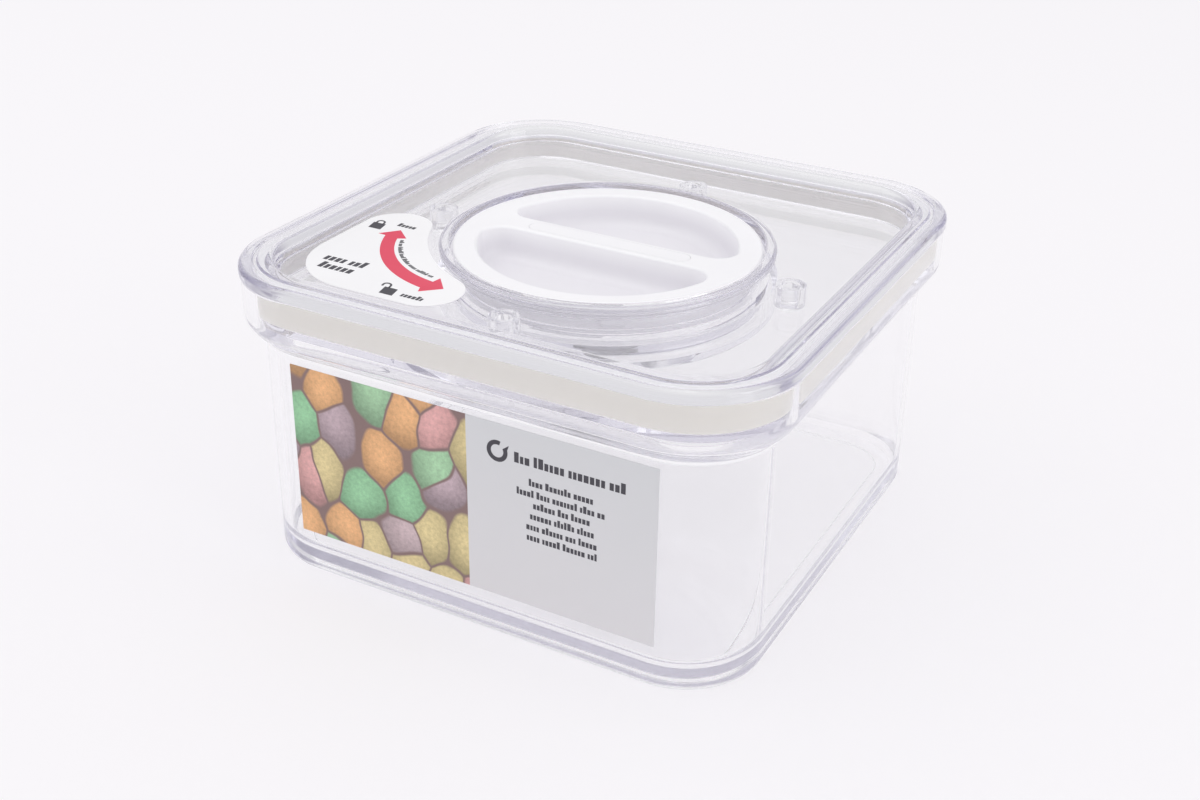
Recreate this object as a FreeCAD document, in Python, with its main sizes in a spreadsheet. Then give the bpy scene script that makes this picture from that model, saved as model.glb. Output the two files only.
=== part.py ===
import FreeCAD, Part
import math
import os

import Sketcher

# Clear square storage container with a twist-lock lid.
# The lid's rim rests on the tub's collar. Turning the knob draws a clamp plate up on a quick two-start
# screw, and the plate squeezes the gasket out against the collar.
# Millimetres, +Z up, origin on the ground under the middle of the tub, front wall towards -Y.
# The lid is locked as modelled.

SIZES = {
    # tub: walls, base and foot
    "body_side": 146.6,
    "body_corner": 22.3,
    "tub_height": 84.0,
    "tub_wall": 2.6,
    "base_thickness": 5.0,
    "heel_radius": 3.0,
    "floor_radius": 4.8,
    "foot_inset": 9.0,
    "foot_recess": 0.8,
    # tub: collar round the mouth
    "collar_step": 5.3,
    "collar_wall": 3.5,
    "collar_height": 12.6,
    "collar_slope": 5.0,
    "collar_round": 7.0,
    "slope_round": 3.0,
    "collar_edge": 0.5,
    # lid: rim, panel and skirt
    "lid_overhang": 0.4,
    "rim_height": 3.6,
    "rim_width": 8.8,
    "rim_outer_radius": 2.8,
    "rim_inner_radius": 1.6,
    "rim_inner_run": 1.9,
    "panel_drop": 4.0,
    "panel_thickness": 2.4,
    "skirt_height": 8.6,
    "skirt_wall": 2.4,
    # lid: well under the knob, with its raised ring and bearing
    "well_wall": 2.0,
    "well_floor": 2.2,
    "well_edge": 1.2,
    "well_root": 1.2,
    "ring_width": 2.6,
    "ring_height": 1.1,
    "ring_edge": 0.6,
    "knob_seat_drop": 1.7,
    "bearing_height": 2.0,
    "bearing_radius": 10.0,
    # gasket
    "gasket_thickness": 2.9,
    "gasket_gap": 0.3,
    "gasket_seat_gap": 0.1,
    "gasket_edge": 0.5,
    # clamp plate, its dish, cup and guide posts
    "plate_thickness": 2.3,
    "plate_gap": 0.3,
    "plate_edge_gap": 0.7,
    "plate_edge": 0.5,
    "plate_travel": 1.8,
    "shelf_gap": 0.3,
    "dish_gap": 2.1,
    "dish_wall": 2.2,
    "dish_floor_gap": 0.6,
    "dish_edge": 1.2,
    "cup_depth": 7.1,
    "cup_floor": 4.0,
    "post_ring_gap": 8.3,
    "post_radius": 2.2,
    "post_gap": 0.3,
    "post_top_gap": 0.6,
    "socket_wall": 1.7,
    # knob
    "knob_radius": 43.0,
    "knob_lip": 2.4,
    "knob_gap": 0.6,
    "knob_sink": 1.2,
    "knob_run_gap": 0.3,
    "knob_edge": 0.8,
    "pocket_rim": 6.8,
    "pocket_depth": 9.0,
    "pocket_floor": 2.0,
    "pocket_corner": 6.0,
    "pocket_floor_radius": 3.6,
    "pocket_edge_radius": 0.9,
    "bar_width": 8.6,
    "bar_wall": 2.0,
    "bar_hollow_length": 18.0,
    # snap hooks of the knob in the groove of the well
    "hook_reach": 0.7,
    "hook_height": 2.4,
    "hook_ramp": 1.0,
    "hook_root": 0.5,
    "hook_drop": 4.8,
    "hook_gap": 0.3,
    # grip cap and the screw under it
    "cap_length": 50.0,
    "cap_margin": 1.5,
    "cap_thickness": 1.2,
    "cap_gap": 0.1,
    "screw_head_radius": 2.4,
    "screw_head_height": 1.5,
    "screw_radius": 1.2,
    "screw_length": 10.0,
    "screw_gap": 0.05,
    "screw_web": 2.2,
    # spindle, its seal and washer
    "journal_radius": 6.0,
    "journal_gap": 0.05,
    "journal_end_gap": 0.2,
    "spindle_collar_height": 1.2,
    "washer_thickness": 0.6,
    "washer_width": 3.2,
    "washer_gap": 0.3,
    "key_side": 6.4,
    "key_gap": 0.1,
    "seal_section": 1.1,
    "seal_groove_gap": 0.2,
    # two-start screw
    "thread_core_radius": 4.4,
    "thread_gap": 0.3,
    "thread_crest": 0.6,
    "thread_root": 1.5,
    "thread_end": 0.5,
    "floor_clearance": 0.5,
    # cam nut and its screws
    "nut_radius": 9.2,
    "nut_top_gap": 0.4,
    "nut_flange_radius": 15.6,
    "nut_flange_gap": 0.4,
    "nut_flange_height": 2.0,
    "nut_screw_radius": 1.25,
    "nut_screw_head_radius": 2.2,
    "nut_screw_head_height": 1.4,
    "nut_screw_depth": 3.0,
    # printed label on the front wall and sticker on the lid
    "label_side_gap": 19.5,
    "label_bottom": 13.4,
    "label_top_gap": 2.5,
    "label_thickness": 0.2,
    "sticker_gap": 3.55,
    "sticker_corner": 22.0,
    "sticker_reach": 22.5,
    "sticker_ring_gap": 3.0,
    "sticker_shift": 1.5,
    "sticker_thickness": 0.2,
    # how far cuts run past the faces they open
    "overrun": 2.0,
}

QUARTER_TURN = 90.0
HALF_TURN = 180.0
FULL_TURN = 360.0
POCKET_DRAFT = 10.0
HOOK_COUNT = 4
HOOK_ANGLE = 8.0
HOOK_START_ANGLE = -64.0
THREAD_STARTS = 2
NUT_SCREW_COUNT = 3
TOUCH = 1e-4

doc = FreeCAD.newDocument("container")
sheet = doc.addObject("Spreadsheet::Sheet", "sheet")


class Size:
    """A length that keeps both its value and the sheet expression that it comes from."""

    def __init__(self, value, text):
        self.value = value
        self.text = text

    def joined(self, sign, other, value):
        return Size(value, f"({self.text} {sign} {other.text})")

    def __add__(self, other):
        return self.joined("+", other, self.value + other.value)

    def __sub__(self, other):
        return self.joined("-", other, self.value - other.value)

    def __mul__(self, count):
        return Size(self.value * count, f"({self.text} * {count})")

    def __truediv__(self, count):
        return Size(self.value / count, f"({self.text} / {count})")

    def __neg__(self):
        return Size(-self.value, f"(0 - {self.text})")


class Sizes:
    """The driving sizes by name."""


ZERO = Size(0.0, "0")
S = Sizes()
for row, (size_name, size_value) in enumerate(SIZES.items(), start=1):
    sheet.set(f"A{row}", size_name)
    sheet.set(f"B{row}", str(size_value))
    sheet.setAlias(f"B{row}", size_name)
    setattr(S, size_name, Size(size_value, f"sheet.{size_name}"))
doc.recompute()

# Heights and half sides that several pieces share.
body_half = S.body_side / 2
collar_half = body_half + S.collar_step
collar_corner = S.body_corner + S.collar_step
mouth_half = collar_half - S.collar_wall
mouth_corner = collar_corner - S.collar_wall
lid_half = collar_half + S.lid_overhang
lid_corner = collar_corner + S.lid_overhang
gasket_half = mouth_half - S.gasket_gap
gasket_corner = mouth_corner - S.gasket_gap
skirt_half = gasket_half - S.gasket_thickness - S.gasket_seat_gap
skirt_corner = gasket_corner - S.gasket_thickness - S.gasket_seat_gap

slope_top = S.tub_height - S.collar_height
slope_foot = slope_top - S.collar_slope
rim_top = S.tub_height + S.rim_height
panel_half = lid_half - S.rim_width - S.rim_inner_run
panel_corner = lid_corner - S.rim_width - S.rim_inner_run
panel_top = rim_top - S.panel_drop
panel_bottom = panel_top - S.panel_thickness
skirt_bottom = S.tub_height - S.skirt_height
plate_top = skirt_bottom - S.plate_gap
plate_bottom = plate_top - S.plate_thickness
shelf_top = plate_bottom - S.plate_travel - S.shelf_gap

ring_top = panel_top + S.ring_height
ring_bore = S.knob_radius + S.knob_gap
ring_radius = ring_bore + S.ring_width
post_place = ring_radius + S.post_ring_gap
knob_top = ring_top - S.knob_sink
knob_seat = panel_top - S.knob_seat_drop
knob_rim_bottom = knob_seat + S.knob_run_gap
knob_skirt = S.knob_radius - S.knob_lip
knob_bottom = knob_top - S.pocket_depth - S.pocket_floor
pocket_radius = S.knob_radius - S.pocket_rim
hook_top = knob_rim_bottom - S.hook_drop
hook_bottom = hook_top - S.hook_height
cap_width = S.bar_width - S.cap_margin * 2
cap_seat = knob_top - S.cap_thickness
screw_seat = cap_seat - S.screw_head_height
key_top = screw_seat - S.screw_web

washer_top = knob_bottom - S.spindle_collar_height
bearing_top = washer_top - S.washer_thickness
bearing_bore = S.journal_radius + S.journal_gap
well_bore = knob_skirt + S.knob_run_gap
well_radius = well_bore + S.well_wall
well_floor_top = bearing_top - S.bearing_height
well_bottom = well_floor_top - S.well_floor

dish_bore = well_radius + S.dish_gap
dish_floor_top = well_bottom - S.dish_floor_gap
dish_floor_bottom = dish_floor_top - S.dish_wall
cup_radius = S.nut_flange_radius + S.nut_flange_gap
cup_floor_top = dish_floor_top - S.cup_depth
cup_bottom = cup_floor_top - S.cup_floor
nut_top = dish_floor_top - S.nut_top_gap
nut_hole_radius = S.nut_screw_radius + S.screw_gap
nut_screw_place = (S.nut_radius + S.nut_flange_radius) / 2
thread_lead = S.plate_travel * (FULL_TURN / QUARTER_TURN)
thread_top = nut_top + S.journal_end_gap
spindle_tip = cup_floor_top + S.floor_clearance
rib_start = spindle_tip + S.thread_end + S.thread_root / 2
rib_radius = S.journal_radius


def bind(item, name, size):
    """Tie a property or a sketch dimension to the sheet."""
    item.setExpression(name, size.text)


def new_body(label):
    body = doc.addObject("PartDesign::Body", label)
    body.Label = label
    return body


def origin_feature(body, role):
    return [feature for feature in body.Origin.OriginFeatures if feature.Role == role][0]


def new_sketch(body, name, role, lift=ZERO, turn=0.0):
    """A sketch on one of the body's origin planes, lifted off it and turned about its upright axis."""
    sketch = body.newObject("Sketcher::SketchObject", f"{body.Label}_{name}")
    sketch.AttachmentSupport = [(origin_feature(body, role), "")]
    sketch.MapMode = "FlatFace"
    turned = FreeCAD.Rotation(FreeCAD.Vector(0, 1, 0), turn)
    sketch.AttachmentOffset = FreeCAD.Placement(FreeCAD.Vector(0, 0, lift.value), turned)
    bind(sketch, "AttachmentOffset.Base.z", lift)
    return sketch


def constrain(sketch, kind, *places):
    sketch.addConstraint(Sketcher.Constraint(kind, *places))


def dimension(sketch, kind, *places_and_size):
    """A dimension of the sketch, bound to the sheet."""
    *places, size = places_and_size
    number = sketch.addConstraint(Sketcher.Constraint(kind, *places, size.value))
    bind(sketch, f"Constraints[{number}]", size)


def arc(sketch, x, y, radius, start, end):
    circle = Part.Circle(FreeCAD.Vector(x, y, 0), FreeCAD.Vector(0, 0, 1), radius)
    return sketch.addGeometry(Part.ArcOfCircle(circle, start, end))


def line(sketch, start, end):
    return sketch.addGeometry(Part.LineSegment(FreeCAD.Vector(*start, 0), FreeCAD.Vector(*end, 0)))


def rounded_square(body, name, half, corner, lift):
    """A square with rounded corners round the origin, level at the given height."""
    sketch = new_sketch(body, name, "XY_Plane", lift)
    inner = half.value - corner.value
    quarter = math.radians(QUARTER_TURN)
    for step, (side_x, side_y) in enumerate(((1, -1), (1, 1), (-1, 1), (-1, -1))):
        start = (step - 1) * quarter
        arc(sketch, side_x * inner, side_y * inner, corner.value, start, start + quarter)
    for side_x, side_y, along_x, along_y in ((1, 0, 0, 1), (0, 1, -1, 0), (-1, 0, 0, -1), (0, -1, 1, 0)):
        foot = (side_x * half.value, side_y * half.value)
        reach = (along_x * inner, along_y * inner)
        line(sketch, (foot[0] - reach[0], foot[1] - reach[1]), (foot[0] + reach[0], foot[1] + reach[1]))
    for step in range(4):
        constrain(sketch, "Tangent", step, 2, 4 + step, 1)
        constrain(sketch, "Tangent", 4 + step, 2, (step + 1) % 4, 1)
    for step in range(3):
        constrain(sketch, "Equal", step, step + 1)
    constrain(sketch, "Vertical", 4)
    constrain(sketch, "Horizontal", 5)
    constrain(sketch, "Vertical", 6)
    constrain(sketch, "Horizontal", 7)
    constrain(sketch, "Symmetric", 0, 3, 2, 3, -1, 1)
    dimension(sketch, "Radius", 0, corner)
    dimension(sketch, "DistanceX", -1, 1, 4, 1, half)
    dimension(sketch, "DistanceY", -1, 1, 5, 1, half)
    return sketch


def circles(body, name, radius, lift, places=((ZERO, ZERO),)):
    """Equal level circles at the given places."""
    sketch = new_sketch(body, name, "XY_Plane", lift)
    for x, y in places:
        middle = FreeCAD.Vector(x.value, y.value, 0)
        ring = sketch.addGeometry(Part.Circle(middle, FreeCAD.Vector(0, 0, 1), radius.value))
        dimension(sketch, "Radius", ring, radius)
        dimension(sketch, "DistanceX", -1, 1, ring, 3, x)
        dimension(sketch, "DistanceY", -1, 1, ring, 3, y)
    return sketch


def add_outline(sketch, points):
    """A closed outline of straight lines, each corner tied to the sheet."""
    first = sketch.GeometryCount
    count = len(points)
    for step, (x, y) in enumerate(points):
        next_x, next_y = points[(step + 1) % count]
        line(sketch, (x.value, y.value), (next_x.value, next_y.value))
    for step, (x, y) in enumerate(points):
        constrain(sketch, "Coincident", first + step, 2, first + (step + 1) % count, 1)
        dimension(sketch, "DistanceX", -1, 1, first + step, 1, x)
        dimension(sketch, "DistanceY", -1, 1, first + step, 1, y)


def profile(body, name, points, turn=0.0):
    """An upright outline in radius and height."""
    sketch = new_sketch(body, name, "XZ_Plane", ZERO, turn)
    add_outline(sketch, points)
    return sketch


def rectangle(left, right, low, high):
    return [(left, low), (right, low), (right, high), (left, high)]


def feature(body, kind, name, sketch, length=None, **settings):
    """A sketched feature of the body, with its length tied to the sheet."""
    doc.recompute()
    item = body.newObject(f"PartDesign::{kind}", f"{body.Label}_{name}")
    item.Profile = sketch
    if length is not None:
        bind(item, "Length", length)
    for setting, value in settings.items():
        setattr(item, setting, value)
    doc.recompute()
    return item


def pad(body, name, sketch, length, **settings):
    return feature(body, "Pad", name, sketch, length, **settings)


def cut(body, name, sketch, length, upward=False, **settings):
    """A pocket that has to take something away."""
    doc.recompute()
    before = body.Shape.Volume
    item = feature(body, "Pocket", name, sketch, length, Reversed=upward, **settings)
    if not body.Shape.Volume < before:
        raise RuntimeError(f"{item.Name} cuts nothing")
    return item


def revolve(body, name, points, angle=FULL_TURN, turn=0.0):
    sketch = profile(body, f"{name}_profile", points, turn)
    return feature(
        body, "Revolution", name, sketch, ReferenceAxis=(sketch, ["V_Axis"]), Angle=angle
    )


def around(body, name, original, count):
    """Copies of a feature round the upright axis."""
    item = body.newObject("PartDesign::PolarPattern", f"{body.Label}_{name}")
    item.Originals = [original]
    item.Axis = (origin_feature(body, "Z_Axis"), [""])
    item.Angle = FULL_TURN
    item.Occurrences = count
    body.Tip = item
    doc.recompute()
    return item


def level_edges(body, height, inside=None, outside=None):
    """Names of the level edges at a height, between two distances from the upright axis."""
    names = []
    for number, edge in enumerate(body.Shape.Edges, start=1):
        places = edge.discretize(3)
        if any(abs(place.z - height.value) > TOUCH for place in places):
            continue
        reach = max(max(abs(place.x), abs(place.y)) for place in places)
        if inside is not None and reach > inside.value + TOUCH:
            continue
        if outside is not None and reach < outside.value - TOUCH:
            continue
        names.append(f"Edge{number}")
    if not names:
        raise RuntimeError(f"no edge of {body.Label} at {height.text}")
    return names


def dress_edges(body, kind, name, edge_names, setting, size):
    base = body.Tip
    item = body.newObject(f"PartDesign::{kind}", f"{body.Label}_{name}")
    item.Base = (base, edge_names)
    bind(item, setting, size)
    doc.recompute()
    return item


def fillet(body, name, radius, edge_names):
    return dress_edges(body, "Fillet", name, edge_names, "Radius", radius)


def chamfer(body, name, size, edge_names):
    return dress_edges(body, "Chamfer", name, edge_names, "Size", size)


def helix(body, kind, name, points, climb):
    """The starts of the screw, as ribs or as grooves."""
    for start in range(THREAD_STARTS):
        turn = start * FULL_TURN / THREAD_STARTS
        sketch = profile(body, f"{name}_{start}_profile", points, turn)
        item = feature(body, kind, f"{name}_{start}", sketch, ReferenceAxis=(sketch, ["V_Axis"]), Mode=0)
        bind(item, "Pitch", thread_lead)
        bind(item, "Height", climb)
        doc.recompute()


def post_places():
    """Where the guide posts stand, outside the ring, one towards each side of the lid."""
    return [(post_place, ZERO), (ZERO, post_place), (-post_place, ZERO), (ZERO, -post_place)]


def nut_screw_places():
    """Where the nut's screws stand, evenly round the upright axis."""
    places = []
    for number in range(NUT_SCREW_COUNT):
        angle = math.radians(number * FULL_TURN / NUT_SCREW_COUNT)
        places.append((nut_screw_place * math.cos(angle), nut_screw_place * math.sin(angle)))
    return places


def make_tub():
    body = new_body("tub")
    inner_half = body_half - S.tub_wall
    inner_corner = S.body_corner - S.tub_wall

    pad(body, "walls", rounded_square(body, "outline", body_half, S.body_corner, ZERO), S.tub_height)
    low = rounded_square(body, "slope_low", body_half, S.body_corner, slope_foot)
    high = rounded_square(body, "slope_high", collar_half, collar_corner, slope_top)
    feature(body, "AdditiveLoft", "slope", low, Sections=[high], Ruled=True)
    collar = rounded_square(body, "collar_outline", collar_half, collar_corner, slope_top)
    pad(body, "collar", collar, S.collar_height)
    fillet(body, "collar_round", S.collar_round, level_edges(body, slope_top, outside=collar_half))
    fillet(body, "slope_round", S.slope_round, level_edges(body, slope_foot, outside=body_half))

    inside = rounded_square(body, "inside_outline", inner_half, inner_corner, S.tub_height)
    cut(body, "inside", inside, S.tub_height - S.base_thickness)
    mouth = rounded_square(body, "mouth_outline", mouth_half, mouth_corner, S.tub_height)
    cut(body, "mouth", mouth, S.tub_height - shelf_top)
    foot_half = body_half - S.foot_inset
    foot = rounded_square(body, "foot_outline", foot_half, S.body_corner - S.foot_inset, ZERO)
    cut(body, "foot", foot, S.foot_recess, upward=True)

    fillet(body, "heel", S.heel_radius, level_edges(body, ZERO, outside=foot_half + S.foot_recess))
    fillet(body, "floor", S.floor_radius, level_edges(body, S.base_thickness))
    chamfer(body, "lip", S.collar_edge, level_edges(body, S.tub_height))
    return body


def make_lid():
    body = new_body("lid")
    rim = rounded_square(body, "rim_outline", lid_half, lid_corner, S.tub_height)
    pad(body, "rim", rim, S.rim_height)
    skirt = rounded_square(body, "skirt_outline", skirt_half, skirt_corner, skirt_bottom)
    pad(body, "skirt", skirt, S.skirt_height)

    inner_half = lid_half - S.rim_width
    inner_corner = lid_corner - S.rim_width
    rim_inner = rounded_square(body, "recess_high", inner_half, inner_corner, rim_top)
    panel_edge = rounded_square(body, "recess_low", panel_half, panel_corner, panel_top)
    feature(body, "SubtractiveLoft", "recess", rim_inner, Sections=[panel_edge], Ruled=True)
    under_half = skirt_half - S.skirt_wall
    under_corner = skirt_corner - S.skirt_wall
    under = rounded_square(body, "under_outline", under_half, under_corner, skirt_bottom)
    cut(body, "under", under, panel_bottom - skirt_bottom, upward=True)
    mouth = circles(body, "well_mouth_outline", ring_bore, panel_top)
    cut(body, "well_mouth", mouth, S.panel_thickness + S.overrun)

    groove = well_bore + S.hook_reach + S.hook_gap
    groove_top = hook_top + S.hook_gap
    groove_bottom = hook_bottom - S.hook_gap
    revolve(body, "well", [
        (bearing_bore, well_bottom),
        (well_radius, well_bottom),
        (well_radius, panel_bottom - S.well_root),
        (ring_radius, panel_bottom - S.well_root),
        (ring_radius, ring_top),
        (ring_bore, ring_top),
        (ring_bore, knob_seat),
        (well_bore, knob_seat),
        (well_bore, groove_top),
        (groove, groove_top),
        (groove, groove_bottom),
        (well_bore, groove_bottom),
        (well_bore, well_floor_top),
        (S.bearing_radius, well_floor_top),
        (S.bearing_radius, bearing_top),
        (bearing_bore, bearing_top),
    ])

    socket_bore = S.post_radius + S.post_gap
    socket_depth = panel_bottom - skirt_bottom
    socket_radius = socket_bore + S.socket_wall
    sockets = circles(body, "socket_outline", socket_radius, skirt_bottom, post_places())
    pad(body, "sockets", sockets, socket_depth)
    bores = circles(body, "socket_bore_outline", socket_bore, skirt_bottom, post_places())
    cut(body, "socket_bores", bores, socket_depth, upward=True)

    fillet(body, "rim_outer", S.rim_outer_radius, level_edges(body, rim_top, outside=lid_half - S.overrun))
    fillet(body, "rim_inner", S.rim_inner_radius, level_edges(body, rim_top, inside=inner_half))
    chamfer(body, "ring_edge", S.ring_edge, level_edges(body, ring_top))
    chamfer(body, "well_edge", S.well_edge, level_edges(body, well_bottom, outside=well_radius))
    return body


def make_gasket():
    body = new_body("gasket")
    height = S.tub_height - plate_top
    inner_half = gasket_half - S.gasket_thickness
    inner_corner = gasket_corner - S.gasket_thickness
    pad(body, "band", rounded_square(body, "outer", gasket_half, gasket_corner, plate_top), height)
    cut(body, "opening", rounded_square(body, "inner", inner_half, inner_corner, S.tub_height), height)
    chamfer(body, "top_edge", S.gasket_edge, level_edges(body, S.tub_height, outside=gasket_half))
    chamfer(body, "bottom_edge", S.gasket_edge, level_edges(body, plate_top, outside=gasket_half))
    return body


def make_clamp_plate():
    body = new_body("clamp_plate")
    half = mouth_half - S.plate_edge_gap
    corner = mouth_corner - S.plate_edge_gap
    dish_radius = dish_bore + S.dish_wall
    cup_outer = cup_radius + S.dish_wall
    pad(body, "web", rounded_square(body, "outline", half, corner, plate_bottom), S.plate_thickness)
    cut(body, "opening", circles(body, "opening_outline", dish_bore, plate_top), S.plate_thickness)
    revolve(body, "dish", [
        (ZERO, cup_bottom),
        (cup_outer, cup_bottom),
        (cup_outer, dish_floor_bottom),
        (dish_radius, dish_floor_bottom),
        (dish_radius, plate_top),
        (dish_bore, plate_top),
        (dish_bore, dish_floor_top),
        (cup_radius, dish_floor_top),
        (cup_radius, cup_floor_top),
        (ZERO, cup_floor_top),
    ])
    posts = circles(body, "post_outline", S.post_radius, plate_top, post_places())
    pad(body, "posts", posts, panel_bottom - plate_top - S.post_top_gap)
    holes = circles(body, "hole_outline", nut_hole_radius, cup_floor_top, nut_screw_places())
    cut(body, "screw_holes", holes, S.nut_screw_depth)
    chamfer(body, "plate_edge", S.plate_edge, level_edges(body, plate_bottom, outside=half - corner))
    chamfer(body, "dish_edge", S.dish_edge, level_edges(body, dish_floor_bottom, outside=dish_radius))
    chamfer(body, "cup_edge", S.dish_edge, level_edges(body, cup_bottom))
    return body


def make_cam_nut():
    body = new_body("cam_nut")
    bore = S.thread_core_radius + S.thread_gap
    flange_top = cup_floor_top + S.nut_flange_height
    revolve(body, "blank", [
        (bore, cup_floor_top),
        (S.nut_flange_radius, cup_floor_top),
        (S.nut_flange_radius, flange_top),
        (S.nut_radius, flange_top),
        (S.nut_radius, nut_top),
        (bore, nut_top),
    ])
    holes = circles(body, "hole_outline", nut_hole_radius, flange_top, nut_screw_places())
    cut(body, "screw_holes", holes, S.nut_flange_height)
    first = rib_start - thread_lead
    root = S.thread_root / 2 + S.thread_gap
    crest = S.thread_crest / 2 + S.thread_gap
    groove = [
        (bore - S.thread_gap, first - root),
        (rib_radius + S.thread_gap, first - crest),
        (rib_radius + S.thread_gap, first + crest),
        (bore - S.thread_gap, first + root),
    ]
    helix(body, "SubtractiveHelix", "groove", groove, nut_top - first + S.thread_root)
    return body


def cylinder(label, radius, height, x, y, z):
    item = doc.addObject("Part::Cylinder", label)
    bind(item, "Radius", radius)
    bind(item, "Height", height)
    for axis, size in zip("xyz", (x, y, z)):
        bind(item, f"Placement.Base.{axis}", size)
    return item


def make_screw(label, head_radius, head_height, radius, length, x, y, seat):
    """A pan-head screw whose head rests at the given height."""
    head = cylinder(f"{label}_head", head_radius, head_height, x, y, seat)
    shank = cylinder(f"{label}_shank", radius, length + head_height / 2, x, y, seat - length)
    screw = doc.addObject("Part::Fuse", label)
    screw.Base = head
    screw.Tool = shank
    screw.Label = label
    return screw


def make_nut_screws():
    seat = cup_floor_top + S.nut_flange_height
    length = S.nut_flange_height + S.nut_screw_depth - S.nut_screw_radius / 2
    screws = []
    for number, (x, y) in enumerate(nut_screw_places()):
        screws.append(make_screw(
            f"nut_screw_{number}", S.nut_screw_head_radius, S.nut_screw_head_height,
            S.nut_screw_radius, length, x, y, seat,
        ))
    group = doc.addObject("Part::Compound", "nut_screws")
    group.Links = screws
    group.Label = "nut_screws"
    return group


def make_spindle():
    body = new_body("spindle")
    seal_middle = (well_bottom + bearing_top) / 2
    seal_low = seal_middle - S.seal_section / 2 - S.seal_groove_gap
    seal_high = seal_middle + S.seal_section / 2 + S.seal_groove_gap
    seal_floor = S.journal_radius - S.seal_section
    collar = bearing_bore + S.washer_gap + S.washer_width
    revolve(body, "shaft", [
        (ZERO, spindle_tip),
        (S.thread_core_radius, spindle_tip),
        (S.thread_core_radius, thread_top),
        (S.journal_radius, thread_top),
        (S.journal_radius, seal_low),
        (seal_floor, seal_low),
        (seal_floor, seal_high),
        (S.journal_radius, seal_high),
        (S.journal_radius, washer_top),
        (collar, washer_top),
        (collar, knob_bottom),
        (ZERO, knob_bottom),
    ])
    half = S.key_side / 2
    key = new_sketch(body, "key_outline", "XY_Plane", knob_bottom)
    add_outline(key, rectangle(-half, half, -half, half))
    pad(body, "key", key, key_top - knob_bottom)
    hole = circles(body, "hole_outline", S.screw_radius + S.screw_gap, key_top)
    cut(body, "screw_hole", hole, S.screw_length - S.screw_web + S.screw_radius)
    rib = [
        (S.thread_core_radius - S.thread_gap, rib_start - S.thread_root / 2),
        (rib_radius, rib_start - S.thread_crest / 2),
        (rib_radius, rib_start + S.thread_crest / 2),
        (S.thread_core_radius - S.thread_gap, rib_start + S.thread_root / 2),
    ]
    helix(body, "AdditiveHelix", "rib", rib, thread_top - rib_start - S.thread_root / 2 - S.thread_end)
    return body


def make_spindle_seal():
    """A square-cut ring that fills the journal's groove up to the bearing's wall."""
    body = new_body("spindle_seal")
    inner = S.journal_radius - S.seal_section
    outer = S.journal_radius
    middle = (well_bottom + bearing_top) / 2
    revolve(body, "ring", rectangle(inner, outer, middle - S.seal_section / 2, middle + S.seal_section / 2))
    return body


def make_thrust_washer():
    body = new_body("thrust_washer")
    bore = bearing_bore + S.washer_gap
    ring = circles(body, "outline", bore + S.washer_width, bearing_top)
    pad(body, "disc", ring, S.washer_thickness)
    cut(body, "bore", circles(body, "bore_outline", bore, washer_top), S.washer_thickness)
    return body


def half_moon(sketch, side):
    """One finger pocket: a chord beside the grip bar, an arc inside the rim, rounded corners."""
    edge = S.bar_width.value / 2
    corner = S.pocket_corner.value
    radius = pocket_radius.value
    middle_y = edge + corner
    middle_x = math.sqrt((radius - corner) ** 2 - middle_y ** 2)
    angle = math.atan2(middle_y, middle_x)
    half = math.radians(HALF_TURN)
    quarter = math.radians(QUARTER_TURN)
    flip = 0.0 if side > 0 else half
    chord = line(sketch, (-side * middle_x, side * edge), (side * middle_x, side * edge))
    right = arc(sketch, side * middle_x, side * middle_y, corner, flip - quarter, flip + angle)
    outer = arc(sketch, 0, 0, radius, flip + angle, flip + half - angle)
    left = arc(sketch, -side * middle_x, side * middle_y, corner, flip + half - angle, flip + half + quarter)
    loop = (chord, right, outer, left)
    for step in range(4):
        constrain(sketch, "Tangent", loop[step], 2, loop[(step + 1) % 4], 1)
    constrain(sketch, "Horizontal", chord)
    constrain(sketch, "Coincident", outer, 3, -1, 1)
    constrain(sketch, "Equal", right, left)
    dimension(sketch, "Radius", right, S.pocket_corner)
    dimension(sketch, "Radius", outer, pocket_radius)
    dimension(sketch, "DistanceY", -1, 1, chord, 1, S.bar_width / 2 * side)


def slot_outline(body, name, length, width, lift):
    """A level slot along X with round ends."""
    sketch = new_sketch(body, name, "XY_Plane", lift)
    radius = width.value / 2
    reach = length.value / 2 - radius
    quarter = math.radians(QUARTER_TURN)
    half = math.radians(HALF_TURN)
    right = arc(sketch, reach, 0, radius, -quarter, quarter)
    top = line(sketch, (reach, radius), (-reach, radius))
    left = arc(sketch, -reach, 0, radius, quarter, quarter + half)
    bottom = line(sketch, (-reach, -radius), (reach, -radius))
    loop = (right, top, left, bottom)
    for step in range(4):
        constrain(sketch, "Tangent", loop[step], 2, loop[(step + 1) % 4], 1)
    constrain(sketch, "Symmetric", right, 3, left, 3, -1, 1)
    constrain(sketch, "Horizontal", top)
    dimension(sketch, "Radius", right, width / 2)
    dimension(sketch, "DistanceX", -1, 1, right, 3, length / 2 - width / 2)
    return sketch


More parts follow.
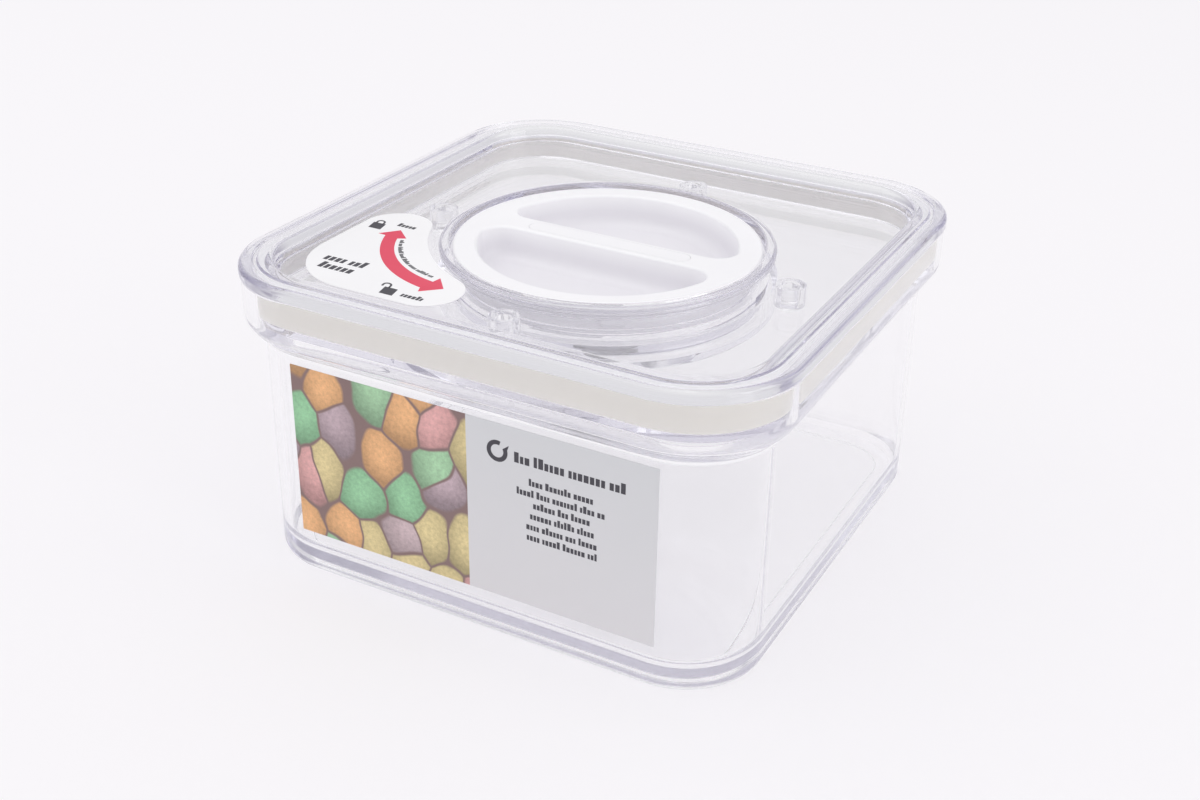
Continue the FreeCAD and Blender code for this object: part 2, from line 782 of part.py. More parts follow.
def make_knob():
    body = new_body("knob")
    revolve(body, "blank", [
        (ZERO, knob_bottom),
        (knob_skirt, knob_bottom),
        (knob_skirt, knob_rim_bottom),
        (S.knob_radius, knob_rim_bottom),
        (S.knob_radius, knob_top),
        (ZERO, knob_top),
    ])
    pockets = new_sketch(body, "pocket_outline", "XY_Plane", knob_top)
    for side in (1, -1):
        half_moon(pockets, side)
    cut(body, "pockets", pockets, S.pocket_depth, TaperAngle=-POCKET_DRAFT)
    floor_edges = level_edges(body, knob_top - S.pocket_depth)
    fillet(body, "pocket_floor", S.pocket_floor_radius, floor_edges)
    fillet(body, "pocket_edge", S.pocket_edge_radius, level_edges(body, knob_top, inside=pocket_radius))
    fillet(body, "rim_edge", S.knob_edge, level_edges(body, knob_top, outside=S.knob_radius))

    gaps = S.cap_gap * 2
    seat = slot_outline(body, "cap_seat_outline", S.cap_length + gaps, cap_width + gaps, knob_top)
    cut(body, "cap_seat", seat, S.cap_thickness)
    head = circles(body, "head_outline", S.screw_head_radius + S.cap_gap, cap_seat)
    cut(body, "head_seat", head, S.screw_head_height)
    hole = circles(body, "hole_outline", S.screw_radius + S.key_gap, screw_seat)
    cut(body, "screw_hole", hole, S.screw_web)
    half = S.key_side / 2 + S.key_gap
    socket = new_sketch(body, "key_socket_outline", "XY_Plane", knob_bottom)
    add_outline(socket, rectangle(-half, half, -half, half))
    cut(body, "key_socket", socket, key_top - knob_bottom, upward=True)

    hollow_half = S.bar_width / 2 - S.bar_wall
    hollow_start = half + S.bar_wall
    hollow_end = hollow_start + S.bar_hollow_length
    hollow = new_sketch(body, "hollow_outline", "XY_Plane", knob_bottom)
    add_outline(hollow, rectangle(hollow_start, hollow_end, -hollow_half, hollow_half))
    add_outline(hollow, rectangle(-hollow_end, -hollow_start, -hollow_half, hollow_half))
    cut(body, "hollow", hollow, cap_seat - S.bar_wall - knob_bottom, upward=True)

    root = knob_skirt - S.hook_root
    tip = knob_skirt + S.hook_reach
    hook = revolve(body, "hook", [
        (root, hook_bottom),
        (knob_skirt, hook_bottom),
        (tip, hook_bottom + S.hook_ramp),
        (tip, hook_top),
        (root, hook_top),
    ], HOOK_ANGLE, HOOK_START_ANGLE)
    around(body, "hooks", hook, HOOK_COUNT)
    return body


def make_grip_cap():
    body = new_body("grip_cap")
    pad(body, "strip", slot_outline(body, "outline", S.cap_length, cap_width, cap_seat), S.cap_thickness)
    return body


def make_front_label():
    body = new_body("front_label")
    sketch = new_sketch(body, "outline", "XZ_Plane", body_half)
    half = body_half - S.label_side_gap
    add_outline(sketch, rectangle(-half, half, S.label_bottom, slope_foot - S.label_top_gap))
    pad(body, "sheet", sketch, S.label_thickness)
    return body


def make_lid_sticker():
    """A bean in the front left corner of the panel, its hollow side round the ring, stuck a little askew."""
    body = new_body("lid_sticker")
    sketch = new_sketch(body, "outline", "XY_Plane", panel_top)
    bind(sketch, "AttachmentOffset.Base.x", -S.sticker_shift)
    bind(sketch, "AttachmentOffset.Base.y", S.sticker_shift)
    edge_size = panel_half - S.sticker_gap
    notch_size = ring_radius + S.sticker_ring_gap
    edge = edge_size.value
    corner = S.sticker_corner.value
    notch = notch_size.value
    lobe_near = S.sticker_reach.value
    lobe = (edge ** 2 + lobe_near ** 2 - notch ** 2) / (2 * (edge + notch))
    lobe_far = edge - lobe
    lean = math.atan2(lobe_near, lobe_far)
    quarter = math.radians(QUARTER_TURN)
    half = math.radians(HALF_TURN)
    round_corner = arc(sketch, corner - edge, corner - edge, corner, half, half + quarter)
    front = line(sketch, (corner - edge, -edge), (-lobe_near, -edge))
    front_lobe = arc(sketch, -lobe_near, -lobe_far, lobe, -quarter, quarter - lean)
    hollow = arc(sketch, 0, 0, notch, half + lean, half + quarter - lean)
    left_lobe = arc(sketch, -lobe_far, -lobe_near, lobe, lean, half)
    left = line(sketch, (-edge, -lobe_near), (-edge, corner - edge))
    constrain(sketch, "Tangent", round_corner, 2, front, 1)
    constrain(sketch, "Tangent", front, 2, front_lobe, 1)
    constrain(sketch, "Tangent", front_lobe, 2, hollow, 2)
    constrain(sketch, "Tangent", hollow, 1, left_lobe, 1)
    constrain(sketch, "Tangent", left_lobe, 2, left, 1)
    constrain(sketch, "Tangent", left, 2, round_corner, 1)
    constrain(sketch, "Horizontal", front)
    constrain(sketch, "Vertical", left)
    constrain(sketch, "Coincident", hollow, 3, -1, 1)
    constrain(sketch, "Equal", front_lobe, left_lobe)
    dimension(sketch, "Radius", round_corner, S.sticker_corner)
    dimension(sketch, "DistanceX", -1, 1, front_lobe, 3, -S.sticker_reach)
    dimension(sketch, "Radius", hollow, notch_size)
    dimension(sketch, "DistanceX", -1, 1, left, 1, -edge_size)
    dimension(sketch, "DistanceY", -1, 1, front, 1, -edge_size)
    pad(body, "sheet", sketch, S.sticker_thickness)
    return body


def make_knob_screw():
    return make_screw(
        "knob_screw", S.screw_head_radius, S.screw_head_height - S.cap_gap,
        S.screw_radius, S.screw_length, ZERO, ZERO, screw_seat,
    )


subparts = [
    make_tub(),
    make_front_label(),
    make_lid(),
    make_lid_sticker(),
    make_gasket(),
    make_clamp_plate(),
    make_cam_nut(),
    make_nut_screws(),
    make_knob(),
    make_grip_cap(),
    make_knob_screw(),
    make_spindle(),
    make_spindle_seal(),
    make_thrust_washer(),
]
doc.recompute()

for item in doc.Objects:
    if "Invalid" in item.State or "Error" in item.State:
        raise RuntimeError(f"{item.Name} failed: {item.State}")
for subpart in subparts:
    if subpart.Shape.isNull() or not subpart.Shape.isValid():
        raise RuntimeError(f"{subpart.Label} has no valid shape")

os.makedirs("parts", exist_ok=True)
for subpart in subparts:
    subpart.Shape.exportStep(f"parts/{subpart.Label}.step")
    print(subpart.Label, len(subpart.Shape.Solids), round(subpart.Shape.Volume, 1))
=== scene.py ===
import math
import random

import bpy
from mathutils import Matrix, Vector


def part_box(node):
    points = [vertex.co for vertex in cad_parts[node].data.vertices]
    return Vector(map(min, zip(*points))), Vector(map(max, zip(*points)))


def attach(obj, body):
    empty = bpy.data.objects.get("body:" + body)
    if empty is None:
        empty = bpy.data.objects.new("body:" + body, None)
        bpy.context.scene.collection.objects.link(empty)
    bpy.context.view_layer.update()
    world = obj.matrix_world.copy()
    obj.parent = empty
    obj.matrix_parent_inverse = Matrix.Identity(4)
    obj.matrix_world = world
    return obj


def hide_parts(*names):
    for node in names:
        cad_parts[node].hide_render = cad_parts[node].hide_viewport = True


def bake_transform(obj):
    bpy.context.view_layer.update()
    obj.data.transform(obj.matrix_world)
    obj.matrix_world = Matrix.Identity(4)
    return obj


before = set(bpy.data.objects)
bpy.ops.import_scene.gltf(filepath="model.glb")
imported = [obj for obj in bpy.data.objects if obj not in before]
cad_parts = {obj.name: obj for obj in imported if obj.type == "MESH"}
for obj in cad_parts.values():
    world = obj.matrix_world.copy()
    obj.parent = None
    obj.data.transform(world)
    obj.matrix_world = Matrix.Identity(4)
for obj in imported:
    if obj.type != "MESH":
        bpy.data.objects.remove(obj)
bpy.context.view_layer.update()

# Sizes are in millimetres until a mesh is made. The outer ones come from the frame.
MM = 0.001


def limits(name):
    """Lowest and highest corner of a node's box, in millimetres."""
    lowest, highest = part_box(name)
    return lowest / MM, highest / MM


tub_high = limits("tub")[1]
lid_low, lid_high = limits("lid")
gasket_low, gasket_high = limits("gasket")
label_low, label_high = limits("front_label")
sticker_low, sticker_high = limits("lid_sticker")

# Every rounded square has its corner centres on one square, so a size is a reach from there.
LID_CORNER = 28.0
SPINE = lid_high.x - LID_CORNER
CORNER_STEPS = 40
SIDE_STEPS = 36

# Radii of small edges, from crisp to full
CRISP = 0.1
FINE = 0.2
EDGE = 0.3
STEP = 0.4
SOFT = 0.5
LIP = 0.6
FULL = 0.7

# Tub
BODY_STEP = 5.3
WALL = 2.6
BASE = 5.0
BASE_MIDDLE = 0.2
HEEL = 3.0
FLOOR_ROUND = 4.8
FOOT_INSET = 9.0
FOOT_RECESS = 0.8
SLOPE_LOW = 66.4
SLOPE_HIGH = 71.4
SLOPE_ROUND = 3.0
COLLAR_ROUND = 7.0
MOUTH_WALL = 3.5
SHELF = 70.7
collar_reach = tub_high.x - SPINE
body_reach = collar_reach - BODY_STEP
inside_reach = body_reach - WALL
mouth_reach = collar_reach - MOUTH_WALL

# Lid
RIM_BOTTOM = tub_high.z
RIM_ROUND = 2.8
RIM_INNER = 8.8
RIM_INNER_ROUND = 1.6
RIM_GROOVE = 3.6
RIM_GROOVE_WIDE = 1.6
RIM_GROOVE_DEEP = 0.55
RIM_GROOVE_SLANT = 0.35
RIM_GROOVE_ROUND = 0.35
PANEL_EDGE = 10.7
PANEL_TOP = sticker_low.z
PANEL_THICK = 2.4
SKIRT_BOTTOM = 75.4
SKIRT_REACH = 20.8
UNDERCUT_REACH = 18.4
RING_BORE = 43.6
RING_OUTER = 46.2
RING_TOP = 84.7
KNOB_SEAT = 81.9
WELL_BORE = 40.9
WELL_OUTER = 42.9
WELL_FLOOR = 68.7
WELL_FLOOR_ROUND = 0.8
WELL_UNDER_ROUND = 1.2
WELL_ROOT = 1.2
HOOK_BORE = 41.9
HOOK_HIGH = 77.7
HOOK_LOW = 74.7
BOSS = 10.0
BOSS_TOP = 70.7
BOSS_BORE = 6.05
SOCKET_PLACE = 54.5
SOCKET_BORE = 2.5
SOCKET_MIDDLE = 3.3
SOCKET_OUTER = 4.2
SOCKET_STEPS = 40
# flat strips beside an edge, before the wide faces between the square and the round loops
PANEL_STRIP = 1.2
UNDERCUT_STRIP = 2.0
RING_STRIP = 1.5
# pieces stand this far off what they touch, so that faces never coincide
HAIR = 0.05
rim_reach = lid_high.x - SPINE
panel_under = PANEL_TOP - PANEL_THICK

# Gasket
GASKET_THICK = 2.9
gasket_reach = gasket_high.x - SPINE
gasket_tall = gasket_high.z - gasket_low.z

# Mesh helpers

ROOM_SHARE = 0.49
STRAIGHT = 1e-6
# an arc below this radius has so many steps
ARC_STEPS = ((0.35, 4), (1.3, 7), (math.inf, 12))


def corner_points(before, here, after, radius):
    """Arc of that radius at a corner of a profile, as (reach, z, normal reach, normal z)."""
    first = Vector((here[0] - before[0], here[1] - before[1]))
    second = Vector((after[0] - here[0], after[1] - here[1]))
    room = min(first.length, second.length) * ROOM_SHARE
    first.normalize()
    second.normalize()
    turn = math.atan2(first.x * second.y - first.y * second.x, first.dot(second))
    spare = abs(math.tan(turn / 2))
    radius = min(radius, room / spare) if spare > STRAIGHT else 0.0
    side = 1.0 if turn > 0 else -1.0
    normal = Vector((first.y, -first.x))
    start = Vector(here) - first * radius * spare
    centre = start - normal * side * radius
    angle = math.atan2(normal.y, normal.x)
    steps = next(count for limit, count in ARC_STEPS if radius < limit)
    points = []
    for i in range(steps + 1):
        a = angle + turn * i / steps
        ray = Vector((math.cos(a), math.sin(a)))
        place = centre + ray * side * radius
        points.append((place.x, place.y, ray.x, ray.y))
    return points


def rounded(profile):
    """Rounds every inner corner of [(reach, z, radius), ...]; the two ends stay."""
    flat = [(p[0], p[1]) for p in profile]
    out = []
    for i, p in enumerate(profile):
        if i in (0, len(profile) - 1):
            a, b = (flat[0], flat[1]) if i == 0 else (flat[-2], flat[-1])
            along = (Vector(b) - Vector(a)).normalized()
            out.append((p[0], p[1], along.y, -along.x))
        else:
            out.extend(corner_points(flat[i - 1], flat[i], flat[i + 1], p[2]))
    return out


def square_loop():
    """One loop round the rounded square: (centre, direction) of each vertex."""
    loop = []
    corners = [(SPINE, -SPINE), (SPINE, SPINE), (-SPINE, SPINE), (-SPINE, -SPINE)]
    for k, here in enumerate(corners):
        start = -math.pi / 2 + k * math.pi / 2
        there = corners[(k + 1) % 4]
        for i in range(CORNER_STEPS):
            a = start + math.pi / 2 * i / CORNER_STEPS
            loop.append((here, (math.cos(a), math.sin(a))))
        a = start + math.pi / 2
        for i in range(SIDE_STEPS):
            t = i / SIDE_STEPS
            centre = (here[0] + (there[0] - here[0]) * t, here[1] + (there[1] - here[1]) * t)
            loop.append((centre, (math.cos(a), math.sin(a))))
    return loop


def round_loop(centre, angles):
    """One loop round a circle: (centre, direction) of each vertex."""
    return [(centre, (math.cos(a), math.sin(a))) for a in angles]


SQUARE = square_loop()
# the round loops of the lid meet the square ones along rays through the panel's edge
panel_reach = rim_reach - PANEL_EDGE
ROUND = round_loop(
    (0.0, 0.0),
    [math.atan2(c[1] + panel_reach * d[1], c[0] + panel_reach * d[0]) for c, d in SQUARE],
)


def in_metres(points):
    return [tuple(c * MM for c in p) for p in points]


def put_in_scene(name, data):
    item = bpy.data.objects.new(name, data)
    bpy.context.scene.collection.objects.link(item)
    return item


class Shell:
    """Closed skins made of loops that follow a profile, with exact normals."""

    def __init__(self):
        self.points = []
        self.normals = []
        self.faces = []

    def add_loop(self, loop, place):
        reach, z, normal_reach, normal_z = place
        start = len(self.points)
        for centre, ray in loop:
            self.points.append((centre[0] + reach * ray[0], centre[1] + reach * ray[1], z))
            self.normals.append((normal_reach * ray[0], normal_reach * ray[1], normal_z))
        return start

    def bridge(self, a, b, count):
        for i in range(count):
            j = (i + 1) % count
            self.faces.append((a + i, a + j, b + j, b + i))

    def cap(self, a, count, up):
        loop = list(range(a, a + count))
        self.faces.append(tuple(loop if up else reversed(loop)))

    def skin(self, runs, closed):
        """runs = [(loop, profile), ...]. A closed skin joins its last loop to its first."""
        places = [(loop, place) for loop, profile in runs for place in rounded(profile)]
        # a profile that ends where it began needs no second loop there
        if closed and places[0][1][:2] == places[-1][1][:2]:
            places.pop()
        starts = [self.add_loop(loop, place) for loop, place in places]
        count = len(runs[0][0])
        for a, b in zip(starts, starts[1:]):
            self.bridge(a, b, count)
        if closed:
            self.bridge(starts[-1], starts[0], count)
        else:
            self.cap(starts[0], count, False)
            self.cap(starts[-1], count, True)

    def build(self, name, material):
        mesh = bpy.data.meshes.new(name)
        mesh.from_pydata(in_metres(self.points), [], self.faces, shade_flat=False)
        mesh.normals_split_custom_set_from_vertices(
            [Vector(n).normalized() for n in self.normals]
        )
        mesh.validate(clean_customdata=False)
        mesh.materials.append(material)
        return put_in_scene(name, mesh)


# Prints are sunk a little into the paper and stand a little proud of it.
PRINT_LOW = -0.02
PRINT_HIGH = 0.03


def prints(name, outlines, place, inks):
    """Thin flat prints: outlines in the plane, each (points, index of its ink), laid by place()."""
    points = []
    faces = []
    kinds = []
    for outline, kind in outlines:
        count = len(outline)
        start = len(points)
        points.extend(place(u, v, PRINT_LOW) for u, v in outline)
        points.extend(place(u, v, PRINT_HIGH) for u, v in outline)
        faces.append(tuple(range(start + count, start + 2 * count)))
        faces.append(tuple(reversed(range(start, start + count))))
        for i in range(count):
            j = (i + 1) % count
            faces.append((start + i, start + j, start + count + j, start + count + i))
        kinds.extend([kind] * (count + 2))
    mesh = bpy.data.meshes.new(name)
    mesh.from_pydata(in_metres(points), [], faces)
    mesh.polygons.foreach_set("material_index", kinds)
    for ink in inks:
        mesh.materials.append(ink)
    return put_in_scene(name, mesh)


# Material helpers


def linear(r, g, b):
    """Colour as read on a screen, 0 to 255, as the shader needs it."""
    out = []
    for c in (r, g, b):
        c = c / 255.0
        out.append(c / 12.92 if c <= 0.04045 else ((c + 0.055) / 1.055) ** 2.4)
    return (out[0], out[1], out[2], 1.0)


class Nodes:
    """The nodes of a material or of the world, made with few words."""

    def __init__(self, owner, output="ShaderNodeOutputMaterial"):
        owner.use_nodes = True
        self.owner = owner
        self.output = output
        self.tree = owner.node_tree
        self.tree.nodes.clear()

    def add(self, kind, values=None, **settings):
        """A node; values go to its inputs, as links where they are another node's outputs."""
        node = self.tree.nodes.new(kind)
        for key, value in settings.items():
            setattr(node, key, value)
        for key, value in (values or {}).items():
            socket = node.inputs[key]
            if isinstance(value, bpy.types.NodeSocket):
                self.tree.links.new(value, socket)
            else:
                socket.default_value = value
        return node

    def math(self, operation, *values):
        node = self.add("ShaderNodeMath", dict(enumerate(values)), operation=operation)
        return node.outputs[0]

    def vector(self, operation, *values):
        node = self.add("ShaderNodeVectorMath", dict(enumerate(values)), operation=operation)
        return node.outputs["Value" if operation == "DOT_PRODUCT" else "Vector"]

    def split(self, vector):
        return self.add("ShaderNodeSeparateXYZ", {"Vector": vector}).outputs

    def join(self, x, y, z):
        return self.add("ShaderNodeCombineXYZ", {"X": x, "Y": y, "Z": z}).outputs[0]

    def noise(self, vector, scale, detail=2.0, roughness=0.5):
        node = self.add(
            "ShaderNodeTexNoise",
            {"Vector": vector, "Scale": scale, "Detail": detail, "Roughness": roughness},
        )
        return node.outputs["Fac"]

    def spread(self, value, start, end, low=0.0, high=1.0, smooth=False):
        """Maps start to low and end to high."""
        node = self.add(
            "ShaderNodeMapRange",
            {"Value": value, "From Min": start, "From Max": end, "To Min": low, "To Max": high},
            interpolation_type="SMOOTHSTEP" if smooth else "LINEAR",
        )
        return node.outputs["Result"]

    def mix(self, factor, a, b):
        # a mix of colours has its sockets at these numbers
        return self.add("ShaderNodeMix", {0: factor, 6: a, 7: b}, data_type="RGBA").outputs[2]

    def mix_shaders(self, factor, a, b):
        return self.add("ShaderNodeMixShader", {0: factor, 1: a, 2: b}).outputs[0]

    def bump(self, height, strength, distance):
        node = self.add(
            "ShaderNodeBump", {"Strength": strength, "Distance": distance, "Height": height}
        )
        return node.outputs["Normal"]

    def place(self, kind="Object"):
        return self.add("ShaderNodeTexCoord").outputs[kind]

    def principled(self, values):
        return self.add("ShaderNodeBsdfPrincipled", values).outputs[0]

    def finish(self, shader, volume=None):
        values = {"Surface": shader}
        if volume is not None:
            values["Volume"] = volume
        self.add(self.output, values)
        return self.owner


# Materials

# the clear plastic is hazy low down, in the base, and clears above it
HAZE = 0.12
HAZE_FROM = 4.0
HAZE_TO = 7.0
RIPPLE = 0.000006
FINE_RIPPLE = 0.004
DEPTH = 10.5


def clear_plastic(name, absorb):
    """Clear moulded plastic: polished, faintly rippled skin, a violet cast where it is thick."""
    n = Nodes(bpy.data.materials.new(name))
    at = n.place()
    smear = n.noise(at, scale=24.0, detail=3.0)
    wave = n.noise(at, scale=36.0, detail=1.0)
    fine = n.noise(at, scale=900.0)
    polish = n.spread(smear, 0.45, 0.75, low=0.0, high=0.008)
    haze = n.spread(n.split(at)["Z"], HAZE_FROM * MM, HAZE_TO * MM, low=HAZE, high=0.0)
    height = n.math("ADD", wave, n.math("MULTIPLY", fine, FINE_RIPPLE))
    plastic = n.principled(
        {
            "Base Color": (1.0, 1.0, 1.0, 1.0),
            "Roughness": n.math("ADD", polish, haze),
            "IOR": 1.5,
            "Transmission Weight": 1.0,
            "Normal": n.bump(height, strength=1.0, distance=RIPPLE),
        }
    )
    path = n.add("ShaderNodeLightPath").outputs
    through = n.math("MAXIMUM", path["Is Shadow Ray"], path["Is Diffuse Ray"])
    # light that is caught inside a wall gets out in the end
    through = n.math("MAXIMUM", through, n.math("GREATER_THAN", path["Ray Depth"], DEPTH))
    open_air = n.add("ShaderNodeBsdfTransparent", {"Color": (0.985, 0.985, 0.988, 1.0)})
    mixed = n.mix_shaders(through, plastic, open_air.outputs[0])
    dim = n.add("ShaderNodeVolumeAbsorption", {"Color": linear(214, 212, 227), "Density": absorb})
    return n.finish(mixed, dim.outputs[0])


CLOUD_TONE = 0.97


def moulded(
    name, colour, rough, grain, scale, extra=None, levels=None, shaded=None, along="Object"
):
    """Opaque surface: fine grain of that depth and scale, slight tone and gloss variation.

    Between two levels its colour turns to the shaded one, downwards: painted shade. They are
    heights in metres, or shares of its own height where it is measured along "Generated".
    """
    n = Nodes(bpy.data.materials.new(name))
    at = n.place()
    cloud = n.noise(at, scale=30.0, detail=3.0)
    pits = n.noise(at, scale=scale, detail=3.0, roughness=0.6)
    dimmed = tuple(c * CLOUD_TONE for c in colour[:3]) + (1.0,)
    tone = n.mix(n.spread(cloud, 0.35, 0.65), colour, dimmed)
    if levels:
        level = n.split(n.place(along))["Z"]
        tone = n.mix(n.spread(level, levels[0], levels[1]), shaded, tone)
    values = {
        "Base Color": tone,
        "Roughness": n.spread(cloud, 0.3, 0.7, low=rough - 0.05, high=rough + 0.06),
        "Normal": n.bump(pits, strength=0.25, distance=grain),
    }
    values.update(extra or {})
    return n.finish(n.principled(values))


clear = clear_plastic("clear_plastic", absorb=8.0)
# the lid is moulded from a slightly deeper batch
clear_lid = clear_plastic("clear_lid", absorb=22.0)
white = moulded(
    "white_plastic", linear(246, 245, 248), rough=0.34, grain=0.00002, scale=3200.0
)
# painted shade: the knob is a little greyer low down, in the finger pockets, where shade falls
knob_white = moulded(
    "knob_white",
    linear(247, 246, 249),
    rough=0.34,
    grain=0.00002,
    scale=3200.0,
    levels=(0.079, 0.0823),
    shaded=linear(234, 232, 237),
)
acetal = moulded(
    "acetal",
    linear(246, 245, 243),
    rough=0.5,
    grain=0.00002,
    scale=2600.0,
    extra={"Transmission Weight": 0.8, "IOR": 1.48},
)
# its colour is set by shares of the gasket's own height
# painted light and shade: the silicone is pale above 83.4 mm, where light falls on its top, and a
# darker ivory below 82.6 mm, where its sides are in shade
PAINTED_LIGHT_FROM = 82.6
PAINTED_LIGHT_TO = 83.4
silicone = moulded(
    "silicone",
    linear(240, 239, 242),
    rough=0.48,
    grain=0.00002,
    scale=2200.0,
    extra={
        "Specular IOR Level": 0.4,
        "Subsurface Weight": 0.5,
        "Subsurface Radius": (1.0, 1.0, 1.0),
        "Subsurface Scale": 0.004,
    },
    levels=((PAINTED_LIGHT_FROM - gasket_low.z) / gasket_tall, (PAINTED_LIGHT_TO - gasket_low.z) / gasket_tall),
    shaded=linear(225, 222, 216),
    along="Generated",
)
seal_rubber = moulded(
    "seal_rubber", linear(222, 219, 212), rough=0.55, grain=0.00002, scale=2200.0
)
steel = moulded(
    "screw_steel",
    linear(205, 205, 208),
    rough=0.3,
    grain=0.00001,
    scale=2500.0,
    extra={"Metallic": 1.0},
)
sticker_paper = moulded(
    "sticker_paper", linear(247, 246, 248), rough=0.42, grain=0.00001, scale=1500.0
)
ink_red = moulded("ink_red", linear(226, 62, 92), rough=0.45, grain=0.00001, scale=1500.0)
ink_dark = moulded("ink_dark", linear(66, 64, 72), rough=0.5, grain=0.00001, scale=1500.0)

# Label: the picture of pebbles ends at this x, and pale grey goes on from there
PICTURE_END = 0.4
PEBBLES = (
    linear(190, 168, 176),
    linear(226, 172, 170),
    linear(222, 204, 152),
    linear(152, 204, 160),
    linear(236, 182, 130),
    linear(168, 208, 168),
    linear(204, 182, 186),
)
PEBBLE_GAP = linear(134, 110, 108)
PEBBLE_SCALE = 92.0
PEBBLE_RANDOM = 0.86
PEBBLE_LEAN = math.radians(34.0)
PEBBLE_STRETCH = (1.0, 0.74, 1.0)
PEBBLE_WANDER = (0.007, 0.007, 0.0)
PEBBLE_LIGHT = (-40.0, 92.0, 0.0)
GREY_LOW = linear(219, 217, 220)
GREY_HIGH = linear(211, 212, 215)
BARE_PAPER = linear(236, 235, 237)
# share of the paper's thickness that counts as its front
FRONT_SHARE = 0.75


def printed_label(name):
    """Printed paper: sugared pebbles on the left, pale grey on the right, bare paper behind."""
    n = Nodes(bpy.data.materials.new(name))
    at = n.place()
    apart = n.split(at)
    flat = n.join(apart["X"], apart["Z"], 0.0)
    wander = n.add("ShaderNodeTexNoise", {"Vector": flat, "Scale": 70.0, "Detail": 1.0})
    lean = n.vector("MULTIPLY_ADD", wander.outputs["Color"], PEBBLE_WANDER, flat)
    turned = n.add(
        "ShaderNodeMapping",
        {"Vector": lean, "Rotation": (0.0, 0.0, PEBBLE_LEAN), "Scale": PEBBLE_STRETCH},
    ).outputs[0]
    cell_values = {"Vector": turned, "Scale": PEBBLE_SCALE, "Randomness": PEBBLE_RANDOM}
    cell = n.add(
        "ShaderNodeTexVoronoi", cell_values, voronoi_dimensions="2D", feature="F1"
    ).outputs
    edge = n.add(
        "ShaderNodeTexVoronoi", cell_values, voronoi_dimensions="2D", feature="DISTANCE_TO_EDGE"
    ).outputs["Distance"]
    palette = n.add("ShaderNodeValToRGB", {"Fac": n.split(cell["Color"])["X"]})
    palette.color_ramp.interpolation = "CONSTANT"
    stops = palette.color_ramp.elements
    stops[0].color = PEBBLES[0]
    stops[1].position = 1.0 / len(PEBBLES)
    stops[1].color = PEBBLES[1]
    for i, colour in enumerate(PEBBLES[2:], 2):
        stops.new(i / len(PEBBLES)).color = colour
    offset = n.vector("SUBTRACT", turned, cell["Position"])
    lit = n.spread(n.vector("DOT_PRODUCT", offset, PEBBLE_LIGHT), -0.5, 0.5, low=0.76, high=1.2)
    grains = n.noise(flat, scale=800.0, detail=4.0, roughness=0.75)
    speck = n.spread(grains, 0.3, 0.7, low=0.8, high=1.18)
    dome = n.math("MULTIPLY", n.spread(cell["Distance"], 0.14, 0.64, low=1.0, high=0.66), lit)
    shade = n.math("MULTIPLY", dome, speck)
    pebble = n.vector("MULTIPLY", palette.outputs["Color"], n.join(shade, shade, shade))
    inside = n.math(
        "MULTIPLY",
        n.spread(edge, 0.012, 0.05),
        n.spread(cell["Distance"], 0.6, 0.68, low=1.0, high=0.0),
    )
    picture = n.mix(inside, PEBBLE_GAP, pebble)
    height = n.spread(apart["Z"], label_low.z * MM, label_high.z * MM)
    grey = n.mix(height, GREY_LOW, GREY_HIGH)
    front = n.mix(n.math("GREATER_THAN", apart["X"], PICTURE_END * MM), picture, grey)
    front_end = label_low.y * (1.0 - FRONT_SHARE) + label_high.y * FRONT_SHARE
    behind = n.math("GREATER_THAN", apart["Y"], front_end * MM)
    fibre = n.noise(at, scale=1800.0, detail=3.0)
    paper = n.principled(
        {
            "Base Color": n.mix(behind, front, BARE_PAPER),
            "Roughness": n.spread(fibre, 0.3, 0.7, low=0.38, high=0.5),
            "Normal": n.bump(fibre, strength=0.15, distance=0.00001),
        }
    )
    return n.finish(paper)


label_print = printed_label("label_print")

# Tub

tub = Shell()
tub.skin(
    [
        (
            SQUARE,
            [
                (BASE_MIDDLE, FOOT_RECESS),
                (body_reach - FOOT_INSET, FOOT_RECESS, EDGE),
                (body_reach - FOOT_INSET, 0.0, EDGE),
                (body_reach, 0.0, HEEL),
                (body_reach, SLOPE_LOW, SLOPE_ROUND),
                (collar_reach, SLOPE_HIGH, COLLAR_ROUND),
                (collar_reach, tub_high.z, LIP),
                (mouth_reach, tub_high.z, LIP),
                (mouth_reach, SHELF, STEP),
                (inside_reach, SHELF, SOFT),
                (inside_reach, BASE, FLOOR_ROUND),
                (BASE_MIDDLE, BASE),
            ],
        )
    ],
    closed=False,
)
tub_piece = tub.build("tub_shell", clear)
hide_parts("tub")
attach(tub_piece, "container")

# Lid

